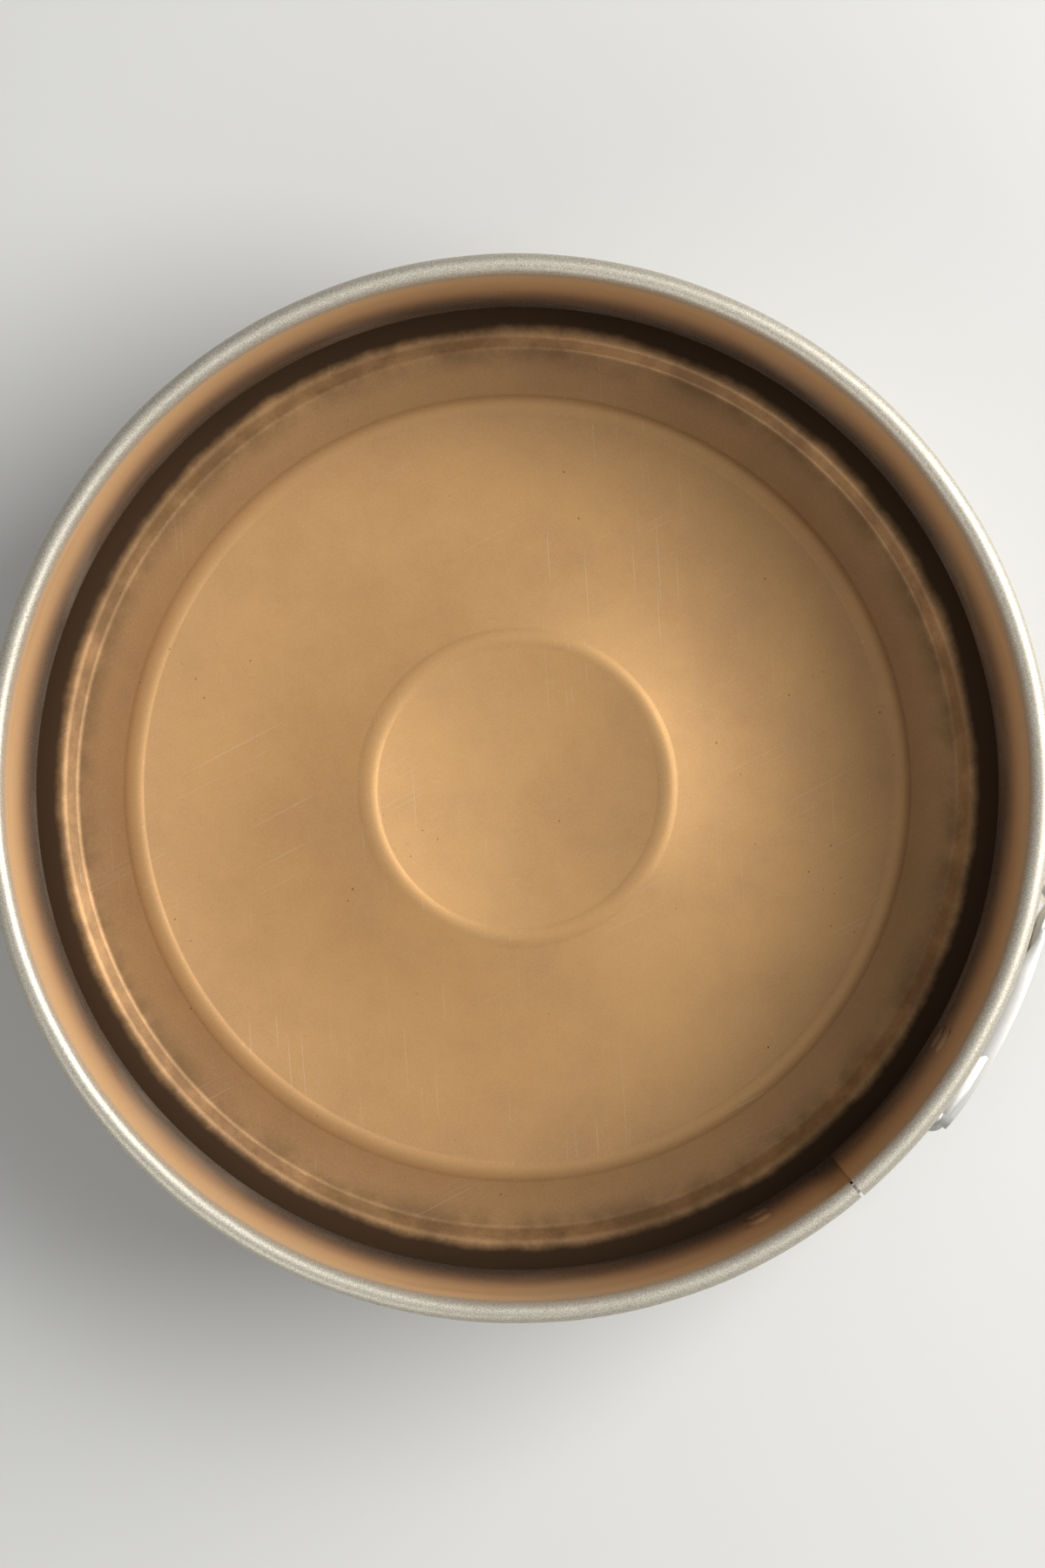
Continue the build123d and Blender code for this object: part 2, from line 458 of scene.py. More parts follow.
# %% [markdown]
# ## The latch
# The latch is an over-centre lever. Its pin stands in a folded bracket on one end of the
# strip, and a wire loop in the lever catches a hook on the other. When the lever lies
# along the pan, the loop's pull has passed the pin, so it holds itself shut.
#
# Every latch part lies along the ring, so it helps to have a ruler that is bent too: a
# distance along the ring from the pin, a distance outwards, and a height.

# %% Pins, and a ruler bent round the ring
joints = {joint["name"]: joint for joint in frame["joints"]}
lever_pivot = Vector(joints["lever_swing"]["pos_m"])
bail_pivot = Vector(joints["bail_swing"]["pos_m"])
pivot_radius = hypot(lever_pivot.x, lever_pivot.y)
pivot_angle = angle_of(lever_pivot)
catch_angle = -180 - pivot_angle
latch_z = lever_pivot.z
wall_outer = wall_line + sheet / 2
catch_pivot = polar(pivot_radius, catch_angle, latch_z)
plate_sheet = 1.1 * mm
plate_corner = 2.4 * mm
latch_sheet = 1.2 * mm


def near(angle, along, outward, height=0.0):
    """A point given from the pin circle: along the ring, outwards, and up."""
    return polar(pivot_radius + outward, angle, latch_z + height) + polar(along, angle + 90)


for name, point in (("lever pin", lever_pivot), ("catch", catch_pivot)):
    print(name, [round(value / mm, 1) for value in point])

# %% [markdown]
# The bracket and the catch start the same way, as a strip of sheet bent to the ring's
# curve with its corners clipped round. A vertical line spun about the pan's axis is
# exactly that.

# %% A curved plate with round corners
def curved_plate(work, low_angle, high_angle, half_height):
    """A strip on the outside of the wall, as an open sheet on its middle surface."""
    radius = wall_outer + plate_sheet / 2
    foot = work.verts.new(polar(radius, low_angle, latch_z - half_height))
    push(work, foot, polar(radius, low_angle, latch_z + half_height))
    line = [vert for vert in work.verts if not vert.link_faces]
    edges = list({edge for vert in line for edge in vert.link_edges})
    steps = max(4, round(high_angle - low_angle))
    turn_about_axis(work, line + edges, high_angle - low_angle, steps)
    corners = [
        vert
        for vert in work.verts
        if len(vert.link_edges) == 2
        and abs(abs(vert.co.z - latch_z) - half_height) < 0.01 * mm
        and any(abs(angle_of(vert.co) - end) < 0.2 for end in (low_angle, high_angle))
    ]
    round_corners(work, corners, plate_corner, 5)


# %% [markdown]
# The bracket's ears are flat and stand square to the plate. Each is an outline of two
# straight sides and a round nose about the pin, filled and extruded by the sheet's
# thickness.

# %% Flat latch plates with round noses
def nosed_plate(work, centre, start, points, turn, low_z, high_z, steps=16):
    """A flat plate: an arc about a centre, closed through more points, given thickness."""
    first = work.verts.new(start)
    tip = roll(work, first, centre, turn, steps, axis=(0, 0, 1))
    for point in points:
        tip = push(work, tip, point)
    work.edges.new((tip, first))
    outline = [first]
    edge = next(e for e in first.link_edges if e.other_vert(first) is not tip)
    while True:
        outline.append(edge.other_vert(outline[-1]))
        if outline[-1] is tip:
            break
        edge = next(e for e in outline[-1].link_edges if e is not edge)
    face = work.faces.new(outline)
    shift = Vector((0, 0, low_z + latch_z - start.z))
    bmesh.ops.translate(work, verts=outline, vec=shift)
    raised = bmesh.ops.extrude_face_region(work, geom=[face])["geom"]
    bmesh.ops.translate(work, verts=verts_of(raised), vec=(0, 0, high_z - low_z))


bracket_span = (-84.2, -72.0)
bracket_half = 11 * mm
ear_low = 4.4 * mm
ear_high = 5.5 * mm
flange_low = 6.0 * mm
flange_high = 7.2 * mm

work = bmesh.new()
for low_z, high_z in ((ear_low, ear_high), (-ear_high, -ear_low)):
    nosed_plate(
        work,
        lever_pivot,
        near(pivot_angle, -3.0 * mm, 0),
        [near(pivot_angle, 7.4 * mm, -5.6 * mm), near(pivot_angle, -1.0 * mm, -5.6 * mm)],
        180,
        low_z,
        high_z,
    )
bmesh.ops.recalc_face_normals(work, faces=work.faces)
ears = finish_piece(work, "bracket_ears")
soften(ears, 0.25 * mm)

work = bmesh.new()
curved_plate(work, *bracket_span, bracket_half)
face_outwards(work, outwards)
bracket = finish_piece(work, "lever_bracket_steel")
thicken(bracket, plate_sheet)
soften(bracket, 0.25 * mm)
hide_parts("lever_bracket")

# %% [markdown]
# The catch goes on from its plate: the middle of its end edge is carried under the wire
# and folded up in front of it. The lip leans away a little, so the wire can swing out.

# %% The catch
catch_span = (-111.0, -99.0)
catch_half = 10 * mm
hook_half = 6.5 * mm
work = bmesh.new()
curved_plate(work, *catch_span, catch_half)
lip = [
    work.verts.new(near(catch_angle, -5.0 * mm, -5.72 * mm, -hook_half)),
    work.verts.new(near(catch_angle, -5.0 * mm, -5.72 * mm, hook_half)),
]
lip_edge = work.edges.new(lip)
hook_run = (
    (-3.9, -5.35),
    (-3.3, -4.7),
    (-2.75, -3.5),
    (-2.25, -2.8),
    (-1.5, -2.6),
    (0.2, -2.6),
    (0.85, -2.35),
    (1.35, -1.8),
    (2.9, 0.6),
)
for along, outward in hook_run:
    made = bmesh.ops.extrude_edge_only(work, edges=[lip_edge])["geom"]
    ends = verts_of(made)
    lip_edge = next(edge for edge in edges_of(made) if all(vert in ends for vert in edge.verts))
    for vert in lip_edge.verts:
        height = vert.co.z - latch_z
        vert.co = near(catch_angle, along * mm, outward * mm, height)
round_corners(work, lip_edge.verts[:], 2.0 * mm, 4)
face_outwards(work, outwards)
catch = finish_piece(work, "catch_hook_steel")
thicken(catch, latch_sheet)
soften(catch, 0.25 * mm)
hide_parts("catch_hook")

# %% [markdown]
# The lever is a channel: a web bent to the pan's curve, two flanges folded in towards
# the wall, and a flared end for the finger. A pressed rib keeps the web from bending.
# The web is a vertical line spun along the ring, then spun the other way for the flare.
# The two cheeks that hold the pins are flat plates like the bracket's ears.

# %% The lever's web and folded edges
handle_radius = 125.8 * mm
handle_end = -60.0
flare_radius = 16 * mm
flare_turn = -42
web_rows = 10
web_start = pivot_angle - 0.3
web_half = flange_high - 0.6 * mm

work = bmesh.new()
tip = work.verts.new(polar(handle_radius, web_start, latch_z - web_half))
for row in range(1, web_rows + 1):
    height = latch_z + (row / web_rows * 2 - 1) * web_half
    tip = push(work, tip, polar(handle_radius, web_start, height))
run = turn_about_axis(work, work.verts[:] + work.edges[:], handle_end - web_start, 30)
flare_centre = polar(handle_radius + flare_radius, handle_end)
bmesh.ops.spin(
    work,
    geom=run["geom_last"],
    cent=flare_centre,
    axis=(0, 0, 1),
    angle=radians(flare_turn),
    steps=14,
)
web_rib = 0.55 * mm
for vert in work.verts:
    angle = angle_of(vert.co)
    along = ease(angle, -79.0, -77.5) * (1 - ease(angle, -64.5, -63.0))
    across = 1 - ease(abs(vert.co.z - latch_z), 1.2 * mm, 3.2 * mm)
    vert.co += outwards(vert.co).normalized() * web_rib * along * across


def lip_depth(point):
    """How far the folded edge reaches in towards the wall."""
    angle = angle_of(point)
    beyond = (point - flare_centre).length < flare_radius + 1 * mm and angle > handle_end + 0.1
    return 0.0 if beyond else 3.6 * mm * (1 - ease(angle, -66.0, handle_end - 0.2)) + 0.9 * mm


long_edges = [
    edge
    for edge in work.edges
    if len(edge.link_faces) == 1 and abs(edge.verts[0].co.z - edge.verts[1].co.z) < 0.01 * mm
]
folded = bmesh.ops.extrude_edge_only(work, edges=long_edges)["geom"]
for vert in verts_of(folded):
    vert.co -= outwards(vert.co).normalized() * lip_depth(vert.co)
corner_edges = [
    edge
    for edge in work.edges
    if len(edge.link_faces) == 2 and edge.calc_face_angle(0.0) > radians(50)
]
bmesh.ops.bevel(
    work, geom=corner_edges, offset=0.8 * mm, segments=3, profile=0.5, affect="EDGES", material=-1
)
face_outwards(work, outwards)
lever = finish_piece(work, "lever_steel")
thicken(lever, latch_sheet)
soften(lever, 0.2 * mm)
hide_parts("lever")

# %% The lever's cheeks
work = bmesh.new()
for low_z, high_z in ((flange_low, flange_high), (-flange_high, -flange_low)):
    nosed_plate(
        work,
        lever_pivot,
        near(pivot_angle, -0.4 * mm, 3.9 * mm),
        [
            near(pivot_angle, 10.4 * mm, -3.7 * mm),
            near(pivot_angle, 13.0 * mm, -2.6 * mm),
            near(pivot_angle, 18.5 * mm, 1.2 * mm),
            near(pivot_angle, 18.5 * mm, 2.4 * mm),
            near(pivot_angle, 9.0 * mm, 3.7 * mm),
        ],
        -178,
        low_z,
        high_z,
    )
bmesh.ops.recalc_face_normals(work, faces=work.faces)
cheeks = finish_piece(work, "lever_cheeks")
soften(cheeks, 0.22 * mm)

# %% [markdown]
# The loop is one bent wire. A circle at its cut end is carried along straight runs with
# an extrude and round the bends with a spin, as the wire itself is bent round pegs.

# %% The wire loop
bail_wire = 1.25 * mm
bail_half = 9.6 * mm
bend = 2.0 * mm
reach = catch_pivot - bail_pivot
bail_length = reach.length


def wire_forward(work, ring, distance, heading):
    """Carries the wire's end circle straight on."""
    made = bmesh.ops.extrude_edge_only(work, edges=ring)["geom"]
    verts = verts_of(made)
    bmesh.ops.translate(work, verts=verts, vec=heading * distance)
    return [edge for edge in edges_of(made) if all(vert in verts for vert in edge.verts)]


def wire_bend(work, ring, centre, axis, angle):
    """Carries the wire's end circle round a bend."""
    verts = list({vert for edge in ring for vert in edge.verts})
    made = bmesh.ops.spin(
        work, geom=verts + ring, cent=centre, axis=axis, angle=radians(angle), steps=8
    )["geom_last"]
    return edges_of(made)


work = bmesh.new()
up = Vector((0, 0, 1))
ahead = reach.normalized()
side = up.cross(ahead)
wire_end = flange_low - 0.1 * mm
rise = up * (bail_half - bend)
start = Matrix.Translation(bail_pivot + up * wire_end)
bmesh.ops.create_circle(work, segments=16, radius=bail_wire, matrix=start)
ring = work.edges[:]
bends = (
    (up, bail_half - bend - wire_end, bail_pivot + rise + ahead * bend),
    (ahead, bail_length - 2 * bend, catch_pivot + rise - ahead * bend),
    (-up, 2 * (bail_half - bend), catch_pivot - rise - ahead * bend),
    (-ahead, bail_length - 2 * bend, bail_pivot - rise + ahead * bend),
)
for heading, distance, centre in bends:
    ring = wire_forward(work, ring, distance, heading)
    ring = wire_bend(work, ring, centre, side, 90)
ring = wire_forward(work, ring, bail_half - bend - wire_end, up)
open_ends = [edge for edge in work.edges if edge.is_boundary]
bmesh.ops.holes_fill(work, edges=open_ends, sides=0)
bmesh.ops.recalc_face_normals(work, faces=work.faces)
bail = finish_piece(work, "bail_wire")
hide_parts("bail")

# %% [markdown]
# Pins and rivets are turned shapes: half a section, spun once round its own axis. The
# dome of a struck head is an arc.

# %% Pin and rivets
def turned(name, outline, place, segments=28):
    """A solid of revolution. outline is (radius, height) pairs from axis to axis."""
    work = bmesh.new()
    tip = work.verts.new((outline[0][0], 0, outline[0][1]))
    for radius, height in outline[1:]:
        tip = push(work, tip, Vector((radius, 0, height)))
    turn_about_axis(work, work.verts[:] + work.edges[:], 360, segments, merge=True)
    bmesh.ops.remove_doubles(work, verts=work.verts, dist=0.01 * mm)
    bmesh.ops.recalc_face_normals(work, faces=work.faces)
    bmesh.ops.transform(work, matrix=place, verts=work.verts)
    return finish_piece(work, name)


def dome(radius, base, height, steps=6):
    """The outline of a struck head, from its edge to its crown."""
    return [
        (radius * cos(radians(90 * step / steps)), base + height * sin(radians(90 * step / steps)))
        for step in range(steps + 1)
    ]


pin_radius = 2.0 * mm
pin_half = 7.3 * mm
pin_head = 2.7 * mm
upper = [(pin_radius, pin_half), (pin_head, pin_half)]
upper += dome(pin_head, pin_half + 0.15 * mm, 0.65 * mm)
pin_outline = [(radius, -height) for radius, height in reversed(upper)] + upper
pin = turned("lever_pin_steel", pin_outline, Matrix.Translation(lever_pivot))
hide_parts("lever_pin")

rivet_pieces = {}
rivet_spread = 6.0 * mm
head_radius = 3.0 * mm
shank_radius = 1.6 * mm
inner_head = 0.6 * mm
grip = sheet + plate_sheet
rivet_outline = [
    (0, -inner_head),
    (head_radius - 0.5 * mm, -inner_head),
    (head_radius, -0.25 * mm),
    (head_radius, 0),
    (shank_radius, 0),
    (shank_radius, grip),
    (head_radius, grip),
] + dome(head_radius, grip + 0.1 * mm, 0.9 * mm)
for group, angle, body in (("bracket", -75.5, "ring_fixed"), ("catch", -105.5, "ring_springing")):
    for level, side_name in ((1, "upper"), (-1, "lower")):
        node = f"{group}_rivet_{side_name}"
        place = polar(wall_line - sheet / 2, angle, latch_z + level * rivet_spread)
        frame_out = Matrix.Rotation(radians(angle), 4, "Z") @ Matrix.Rotation(pi / 2, 4, "Y")
        piece = turned(f"{node}_steel", rivet_outline, Matrix.Translation(place) @ frame_out)
        for face in piece.data.polygons:
            face.material_index = int(hypot(face.center.x, face.center.y) < wall_line)
        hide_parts(node)
        rivet_pieces[piece] = body

# %% [markdown]
# ## Finishes
# A small class keeps shader maths readable. It wraps one output socket, and the usual
# operators add the Math nodes. Everything else, such as a noise or a mix, comes from
# one method that takes the node's type, its settings, and what goes into its sockets.

# %% Shader maths
class Signal:
    """A number, a vector or a colour on its way through a material."""

    def __init__(self, paint, socket):
        self.paint = paint
        self.socket = socket

    def maths(self, operation, *values):
        sockets = dict(enumerate(values))
        return self.paint.node("ShaderNodeMath", {"operation": operation}, sockets)

    def __add__(self, other):
        return self.maths("ADD", self, other)

    def __radd__(self, other):
        return self.maths("ADD", other, self)

    def __sub__(self, other):
        return self.maths("SUBTRACT", self, other)

    def __rsub__(self, other):
        return self.maths("SUBTRACT", other, self)

    def __mul__(self, other):
        return self.maths("MULTIPLY", self, other)

    def __rmul__(self, other):
        return self.maths("MULTIPLY", other, self)

    def __pow__(self, other):
        return self.maths("POWER", self, other)

    def either(self, other):
        return self.maths("MAXIMUM", self, other)


class Paint:
    """One material, and the nodes that it is made of."""

    def __init__(self, name):
        self.material = bpy.data.materials.new(name)
        self.material.use_nodes = True
        self.tree = self.material.node_tree
        self.shader = self.tree.nodes["Principled BSDF"]
        self.place = self.node("ShaderNodeTexCoord", output="Object")

    def node(self, kind, settings=None, sockets=None, output=0):
        """Adds a node. Settings first, then each socket's value or link."""
        made = self.tree.nodes.new(kind)
        for key, value in (settings or {}).items():
            setattr(made, key, value)
        for key, value in (sockets or {}).items():
            self.feed(made.inputs[key], value)
        return Signal(self, made.outputs[output])

    def feed(self, socket, value):
        """Links a signal to a socket, or sets the socket's own value."""
        if isinstance(value, Signal):
            self.tree.links.new(value.socket, socket)
        else:
            socket.default_value = value

    def surface(self, **values):
        """Sets or links the sockets of the material's shader."""
        for name, value in values.items():
            self.feed(self.shader.inputs[name.replace("_", " ")], value)

    def axes(self):
        """The place on the piece as three numbers."""
        kind = "ShaderNodeSeparateXYZ"
        return [self.node(kind, sockets={0: self.place}, output=axis) for axis in range(3)]

    def stretched(self, scale, turn=(0, 0, 0)):
        """The place on the piece, turned and then stretched."""
        kind = "ShaderNodeMapping"
        turned_place = self.node(kind, sockets={"Vector": self.place, "Rotation": turn})
        return self.node(kind, sockets={"Vector": turned_place, "Scale": scale})

    def noise(self, scale, detail=3.0, roughness=0.5, at=None):
        """Cloudy noise from 0 to 1. scale is in features a metre."""
        sockets = {"Vector": at or self.place, "Scale": scale}
        sockets.update({"Detail": detail, "Roughness": roughness})
        return self.node("ShaderNodeTexNoise", sockets=sockets)

    def step(self, value, low, high, start=0.0, stop=1.0):
        """A smooth step of a value from start to stop."""
        settings = {"interpolation_type": "SMOOTHSTEP"}
        sockets = {0: value, 1: low, 2: high, 3: start, 4: stop}
        return self.node("ShaderNodeMapRange", settings, sockets)

    def mix(self, share, first, second):
        """One colour turning into another."""
        settings = {"data_type": "RGBA"}
        sockets = {0: share, 6: first, 7: second}
        return self.node("ShaderNodeMix", settings, sockets, output=2)

    def bump(self, height, distance, strength=1.0):
        """Sends a height in as the surface's normal."""
        sockets = {"Height": height, "Distance": distance, "Strength": strength}
        self.surface(Normal=self.node("ShaderNodeBump", sockets=sockets))


def colour(red, green, blue):
    """A colour from display values 0 to 255 to the linear ones that a shader reads."""
    def linear(value):
        share = value / 255
        return share / 12.92 if share <= 0.04045 else ((share + 0.055) / 1.055) ** 2.4

    return (linear(red), linear(green), linear(blue), 1.0)


# %% [markdown]
# ### The coated steel
# The pan has a champagne non-stick coat: a metallic lacquer with a sandy sparkle. On the
# outside and on the rim it is a warm grey. Inside it is the colour of weak tea, partly from
# fat and sugar burnt into it and partly a painted warm reflection, and towards the foot it is
# painted darker as shade. The sparkle is a fine noise that moves both the colour and the
# roughness, because a flake is both a tint and a tiny mirror.

# %% Coated steel
champagne = colour(203, 197, 184)
champagne_dark = colour(162, 155, 140)
# Inside tone: partly stain, partly a painted warm reflection.
tea_and_warm_reflection = colour(196, 156, 110)
# Deep tea: stain, and also painted shade low on the inside wall.
tea_deep_stain_and_shade = colour(142, 106, 72)
gold = colour(192, 148, 92)
warm_sheen = colour(255, 246, 230)
# Burnt sugar: burnt-on marks, and also painted shade at the inside wall's foot and round the base's
# edge.
burnt_sugar_and_painted_shade = colour(42, 25, 14)
soot = colour(52, 38, 28)


def sparkle(paint, coarse=3400, fine=6400):
    """The flake of the coat, from 0 to 1."""
    return paint.noise(coarse, 2.0, 0.6) * 0.6 + paint.noise(fine, 1.0, 0.5) * 0.4


def specks(paint, scale, amount):
    """Small sparse marks where the coat is chipped or something has burnt on."""
    sockets = {"Vector": paint.place, "Scale": scale, "Randomness": 1.0}
    cells = paint.node("ShaderNodeTexVoronoi", {"feature": "F1"}, sockets)
    patchy = paint.step(paint.noise(38, 2.0), 0.52, 0.62)
    return paint.step(cells + paint.noise(scale * 3, 2.0) * 0.08, amount, amount * 0.45) * patchy


def coated_steel(name, inside):
    """The pan's coat: fresh outside; brown inside, partly stain, partly painted reflection and
    painted shade.
    """
    paint = Paint(name)
    across, ahead_of, height = paint.axes()
    radius = (across * across + ahead_of * ahead_of) ** 0.5
    flake = sparkle(paint)
    cloud = paint.noise(22, 4.0, 0.6)
    smear = paint.noise(9, 5.0, 0.62, at=paint.stretched((1, 1, 4)))
    coat = paint.mix(paint.step(flake, 0.40, 0.60), champagne_dark, champagne)
    chip = specks(paint, 420, 0.13)
    if inside:
        on_top = paint.step(height + smear * 2 * mm, rim_z - 5.0 * mm, rim_z + 0.8 * mm)
        on_outside = paint.step(radius, skirt_line + 0.1 * mm, skirt_line + 0.7 * mm)
        rim = on_top.either(on_outside)
        # Painted shade: below the rim the inside wall is painted darker downwards, nearly black at
        # the foot.
        painted_depth_shade = paint.step(height + cloud * 12 * mm, rim_z + 2 * mm, 28 * mm)
        foot = paint.step(height + cloud * 10 * mm, 50 * mm, 17 * mm)
        stain_and_painted_light = paint.mix(painted_depth_shade, tea_and_warm_reflection, tea_deep_stain_and_shade)
        stain_and_painted_light = paint.mix(foot * 0.96, stain_and_painted_light, burnt_sugar_and_painted_shade)
        stain_and_painted_light = paint.mix(paint.step(smear, 0.50, 0.72) * 0.35, stain_and_painted_light, tea_deep_stain_and_shade)
        stain_and_painted_light = paint.mix(paint.step(flake, 0.40, 0.70) * 0.25, stain_and_painted_light, champagne)
        coat = paint.mix(rim, stain_and_painted_light, coat)
        chip = chip.either(specks(paint, 260, 0.10) * (1 - rim))
        roughness = 0.52 + smear * 0.14 + flake * 0.06 - rim * 0.14 + foot * 0.25
        metal = 0.06 + rim * 0.56
    else:
        roughness = 0.32 + smear * 0.14 + flake * 0.06
        metal = 0.62
    coat = paint.mix(paint.step(cloud, 0.48, 0.75) * 0.22, coat, champagne_dark)
    coat = paint.mix(chip * 0.8, coat, soot)
    paint.surface(Base_Color=coat, Metallic=metal, Roughness=roughness + chip * 0.3)
    paint.surface(Specular_IOR_Level=0.12, Specular_Tint=warm_sheen)
    relief = flake * 0.5 + paint.noise(160, 3.0) * 0.5 + smear * 1.2
    paint.bump(relief, 0.02 * mm, 0.35)
    return paint.material


# %% Bare steel where the sheet was cut
def bare_steel(name, tone, roughness, brush_turn=(0, 0, 0), tarnish=0.35):
    """Zinc-bright steel, brushed one way, with handling marks in its shine."""
    paint = Paint(name)
    brush = paint.noise(900, 2.0, 0.6, at=paint.stretched((1, 1, 14), brush_turn))
    stain = paint.noise(70, 5.0, 0.65)
    freckle = specks(paint, 700, 0.14)
    dull = tuple(channel * 0.55 for channel in tone[:3]) + (1.0,)
    steel = paint.mix(paint.step(stain, 0.42, 0.72) * tarnish, tone, dull)
    steel = paint.mix(brush * 0.25, steel, dull)
    steel = paint.mix(freckle * 0.6, steel, soot)
    roughness = roughness + brush * 0.10 + stain * 0.12
    paint.surface(Base_Color=steel, Metallic=0.95, Roughness=roughness)
    paint.bump(brush * 0.6 + stain * 0.4, 0.02 * mm, 0.4)
    return paint.material


coat_outside = coated_steel("champagne_coat_outside", inside=False)
coat_inside = coated_steel("champagne_coat_inside", inside=True)
cut_edge = bare_steel("cut_edge_steel", colour(84, 76, 66), 0.55)
latch_metal = bare_steel("latch_zinc_steel", colour(196, 195, 190), 0.26)
rim_wire_metal = bare_steel("rim_wire_steel", colour(92, 86, 78), 0.55)
wire_metal = bare_steel("drawn_wire_steel", colour(205, 204, 200), 0.20, (radians(90), 0, 0), 0.2)
rivet_metal = bare_steel("rivet_steel", colour(186, 182, 174), 0.30)

# %% [markdown]
# ### The base's top
# The base sees the most wear. The ribs' crowns are rubbed lighter, burnt sugar sits in
# the step, a dark ring round the edge is burnt sugar and painted shade where it meets the
# wall's foot, and years of slicing have left fine straight scratches.
# Each family of scratches is a noise stretched very long one way, cut off so that only
# its highest threads show.

# %% The base's finish
def scratches(paint, turn, spread, keep):
    """Long thin marks in one direction, sparse, and broken up along their length."""
    heading = (0, 0, radians(turn))
    threads = paint.noise(spread, 0.0, 0.5, at=paint.stretched((0.010, 1, 1), heading))
    patches = paint.noise(20, 2.0, at=paint.stretched((1, 1, 1), heading))
    return paint.step(threads, keep, keep + 0.03) * paint.step(patches, 0.46, 0.62)


def base_finish(name, top):
    """The base's coat: browned on top, its dark edge ring partly painted shade; plainer champagne
    below.
    """
    paint = Paint(name)
    across, ahead_of, height = paint.axes()
    radius = (across * across + ahead_of * ahead_of) ** 0.5
    flake = sparkle(paint)
    cloud = paint.noise(24, 8.0, 0.68)
    blot = paint.noise(60, 6.0, 0.66)
    fresh = paint.mix(paint.step(flake, 0.35, 0.66), champagne_dark, champagne)
    if not top:
        coat = paint.mix(paint.step(cloud, 0.45, 0.7) * 0.35, fresh, tea_deep_stain_and_shade)
        paint.surface(Base_Color=coat, Metallic=0.82, Roughness=0.36 + cloud * 0.18)
        paint.bump(flake * 0.5 + blot * 0.5, 0.02 * mm, 0.35)
        return paint.material
    field = panel_z + base_sheet / 2
    inside_step = 1 - paint.step(radius, 98 * mm, 100 * mm)
    crown = paint.step(height, field + 0.1 * mm, field + rib_rise) * inside_step
    corner = paint.step(radius, 99 * mm, 106 * mm) * (1 - paint.step(radius, 107 * mm, 112 * mm))
    coat = paint.mix(paint.step(cloud, 0.34, 0.72) * 0.34, gold, tea_deep_stain_and_shade)
    coat = paint.mix(paint.step(radius + blot * 22 * mm, 76 * mm, 122 * mm) * 0.5, coat, tea_deep_stain_and_shade)
    coat = paint.mix(crown * 0.35, coat, gold)
    coat = paint.mix(paint.step(flake, 0.40, 0.70) * 0.20, coat, champagne)
    coat = paint.mix(corner * paint.step(blot, 0.30, 0.62) * 0.45, coat, burnt_sugar_and_painted_shade)
    # Partly burnt residue and partly painted shade: a dark ring round the edge, where the base
    # meets the wall's foot.
    crust_and_painted_shade = paint.step(radius + blot * 4 * mm, 110 * mm, 113 * mm)
    coat = paint.mix(crust_and_painted_shade * 0.92, coat, burnt_sugar_and_painted_shade)
    cuts = scratches(paint, 17, 2600, 0.76).either(scratches(paint, 131, 2800, 0.765))
    cuts = cuts * (1 - crust_and_painted_shade)
    coat = paint.mix(cuts * 0.22, coat, champagne)
    burnt = specks(paint, 240, 0.12)
    coat = paint.mix(burnt * 0.8, coat, soot)
    roughness = 0.36 + cloud * 0.10 + flake * 0.06 - crown * 0.05 + burnt.either(crust_and_painted_shade) * 0.25
    paint.surface(Base_Color=coat, Metallic=0.40, Roughness=roughness)
    paint.surface(Specular_IOR_Level=0.3, Specular_Tint=warm_sheen)
    paint.bump(flake * 0.4 + blot * 0.8 - cuts * 0.9 + burnt * 1.5, 0.02 * mm, 0.4)
    return paint.material


base_top = base_finish("base_coat_top", top=True)
base_under = base_finish("base_coat_under", top=False)

# %% [markdown]
# ## Putting it together
# Each piece takes its finish and rides on the body that carries it. The ring's two sides
# meet behind at a hairline that stands in for the spring of the strip. A side could bend
# across it instead, but its finish is laid out by height and radius, and it would slide
# over a side that bends.

# %% Finishes and bodies
def dress(piece, slot, *finishes):
    """Gives a piece its materials. The slot argument is not used."""
    slots = piece.data.materials
    for place, finish in enumerate(finishes):
        if place < len(slots):
            slots[place] = finish
        else:
            slots.append(finish)


dress(ring_right, "coated_steel", coat_outside, coat_inside, cut_edge)
dress(ring_left, "coated_steel", coat_outside, coat_inside, cut_edge)
dress(base, "base_steel", base_top, base_under, cut_edge)
dress(wire_right, "wire_steel", rim_wire_metal)
dress(wire_left, "wire_steel", rim_wire_metal)
for piece in (bracket, ears, lever, cheeks, catch, pin):
    dress(piece, "latch_steel", latch_metal)
dress(bail, "wire_steel", wire_metal)
for piece in rivet_pieces:
    dress(piece, "rivet_steel", rivet_metal, coat_inside)

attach(base, "base")
for piece in (ring_right, wire_right, bracket, ears, pin):
    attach(piece, "ring_fixed")
for piece in (ring_left, wire_left, catch):
    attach(piece, "ring_springing")
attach(lever, "lever")
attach(cheeks, "lever")
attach(bail, "bail")
for piece, body in rivet_pieces.items():
    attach(piece, body)

# %% [markdown]
# ## The studio
# A plain pale floor, and soft light as from a window on one side. Metal only looks like
# metal when it has something to reflect, so the lights are large panels, and the world
# behind them is a pale grey.

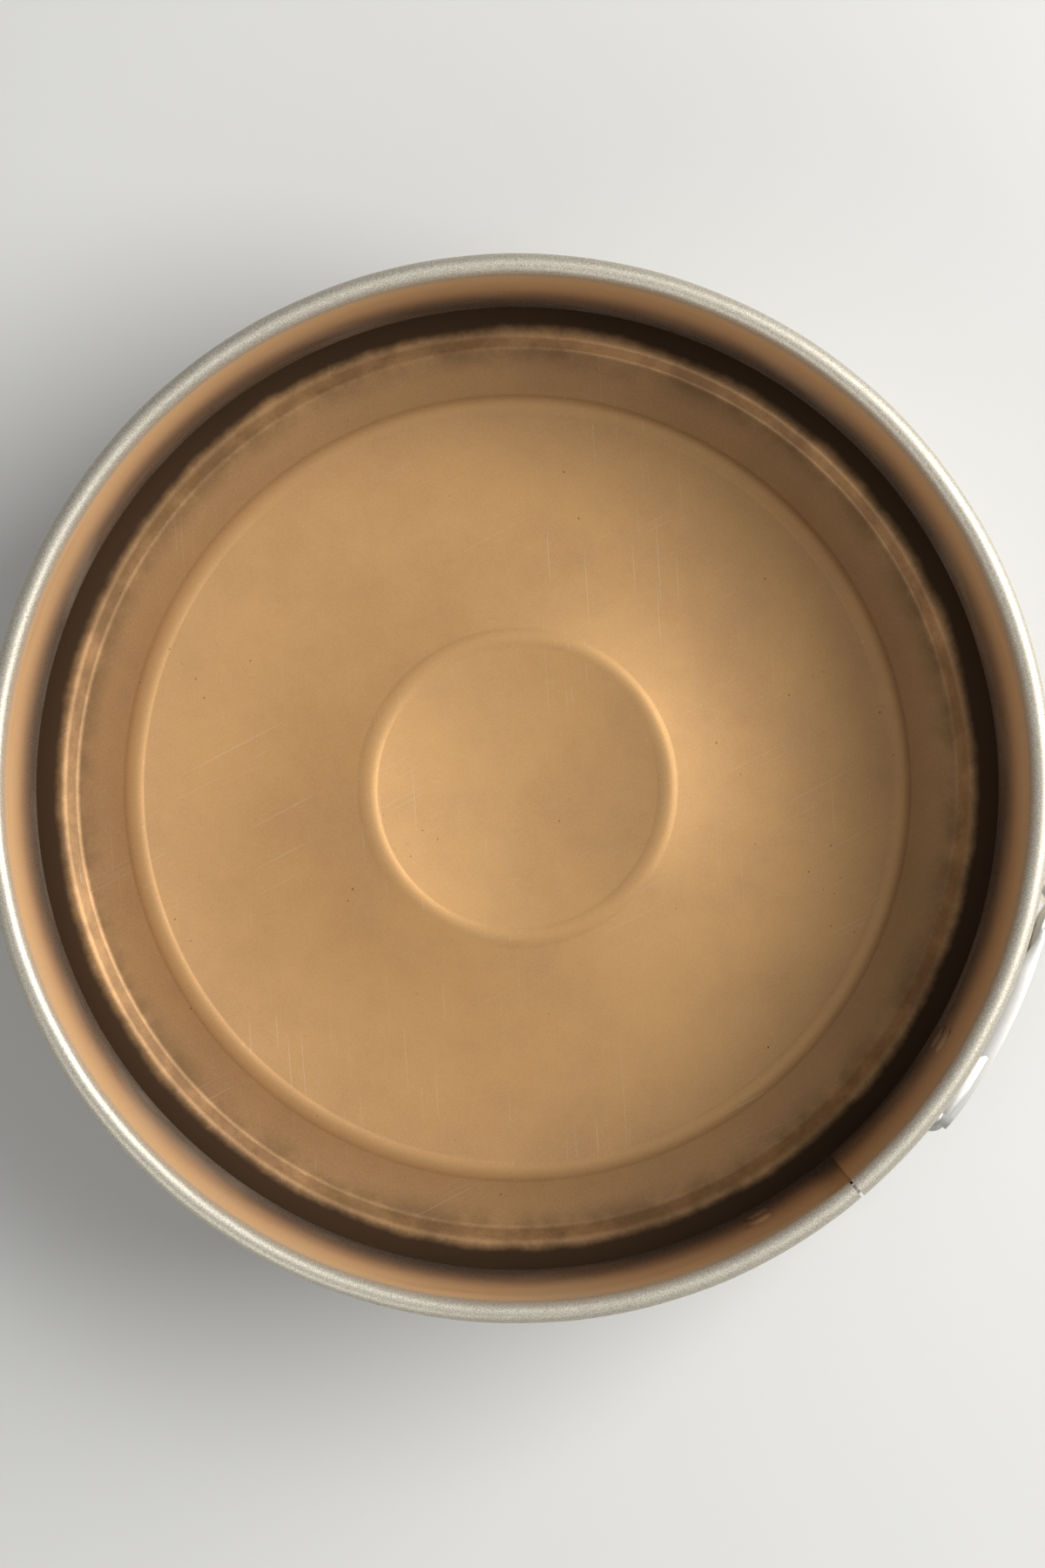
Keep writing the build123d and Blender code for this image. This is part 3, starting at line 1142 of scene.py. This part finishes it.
# %% Floor
work = bmesh.new()
bmesh.ops.create_grid(work, x_segments=1, y_segments=1, size=12.0)
bmesh.ops.translate(work, verts=work.verts, vec=(0, 0, -0.1 * mm))
floor = finish_piece(work, "floor")
floor_paint = Paint("pale_floor")
floor_paint.surface(Base_Color=(0.53, 0.53, 0.52, 1.0), Roughness=0.7)
floor_paint.bump(floor_paint.noise(30, 4.0), 0.1 * mm, 0.2)
floor.data.materials.append(floor_paint.material)

# %% Camera, straight above
view_height = 0.88
view_turn = -44.8
image_half_height = 0.1742
shift_right = 1.2 * mm
shift_up = 1.0 * mm

camera_data = bpy.data.cameras.new("camera")
camera = bpy.data.objects.new("camera", camera_data)
bpy.context.scene.collection.objects.link(camera)
camera_data.sensor_width = 36
camera_data.lens = view_height * camera_data.sensor_width / 2 / image_half_height
camera.location = polar(shift_right, view_turn) + polar(shift_up, view_turn + 90)
camera.location.z = ring_high.z + view_height
camera.rotation_euler = (0, 0, radians(view_turn))
bpy.context.scene.camera = camera
print("lens", round(camera_data.lens, 1))


# %% Lights
def panel(name, heading, height, distance, size, power, tint=(1, 1, 1)):
    """A soft square light that looks at the pan. heading is its turn from the view's right."""
    light = bpy.data.lights.new(name, "AREA")
    light.shape = "RECTANGLE"
    light.size, light.size_y = size
    light.energy = power
    light.color = tint
    lamp = bpy.data.objects.new(name, light)
    bpy.context.scene.collection.objects.link(lamp)
    lamp.location = polar(distance, view_turn + heading, height)
    towards = Vector((0, 0, 0.04)) - lamp.location
    lamp.rotation_euler = towards.to_track_quat("-Z", "Y").to_euler()


panel("window", 16, 0.82, 0.95, (1.0, 1.1), 28, (1.0, 0.99, 0.975))
panel("bounce", 235, 0.8, 1.1, (1.2, 0.8), 6.5, (1.0, 0.99, 0.97))
panel("sky", 60, 1.5, 0.4, (1.2, 1.2), 1.5)

world = bpy.data.worlds.new("studio")
world.use_nodes = True
world.node_tree.nodes["Background"].inputs["Color"].default_value = (0.80, 0.81, 0.83, 1)
world.node_tree.nodes["Background"].inputs["Strength"].default_value = 0.30
bpy.context.scene.world = world
bpy.context.scene.view_settings.view_transform = "Standard"
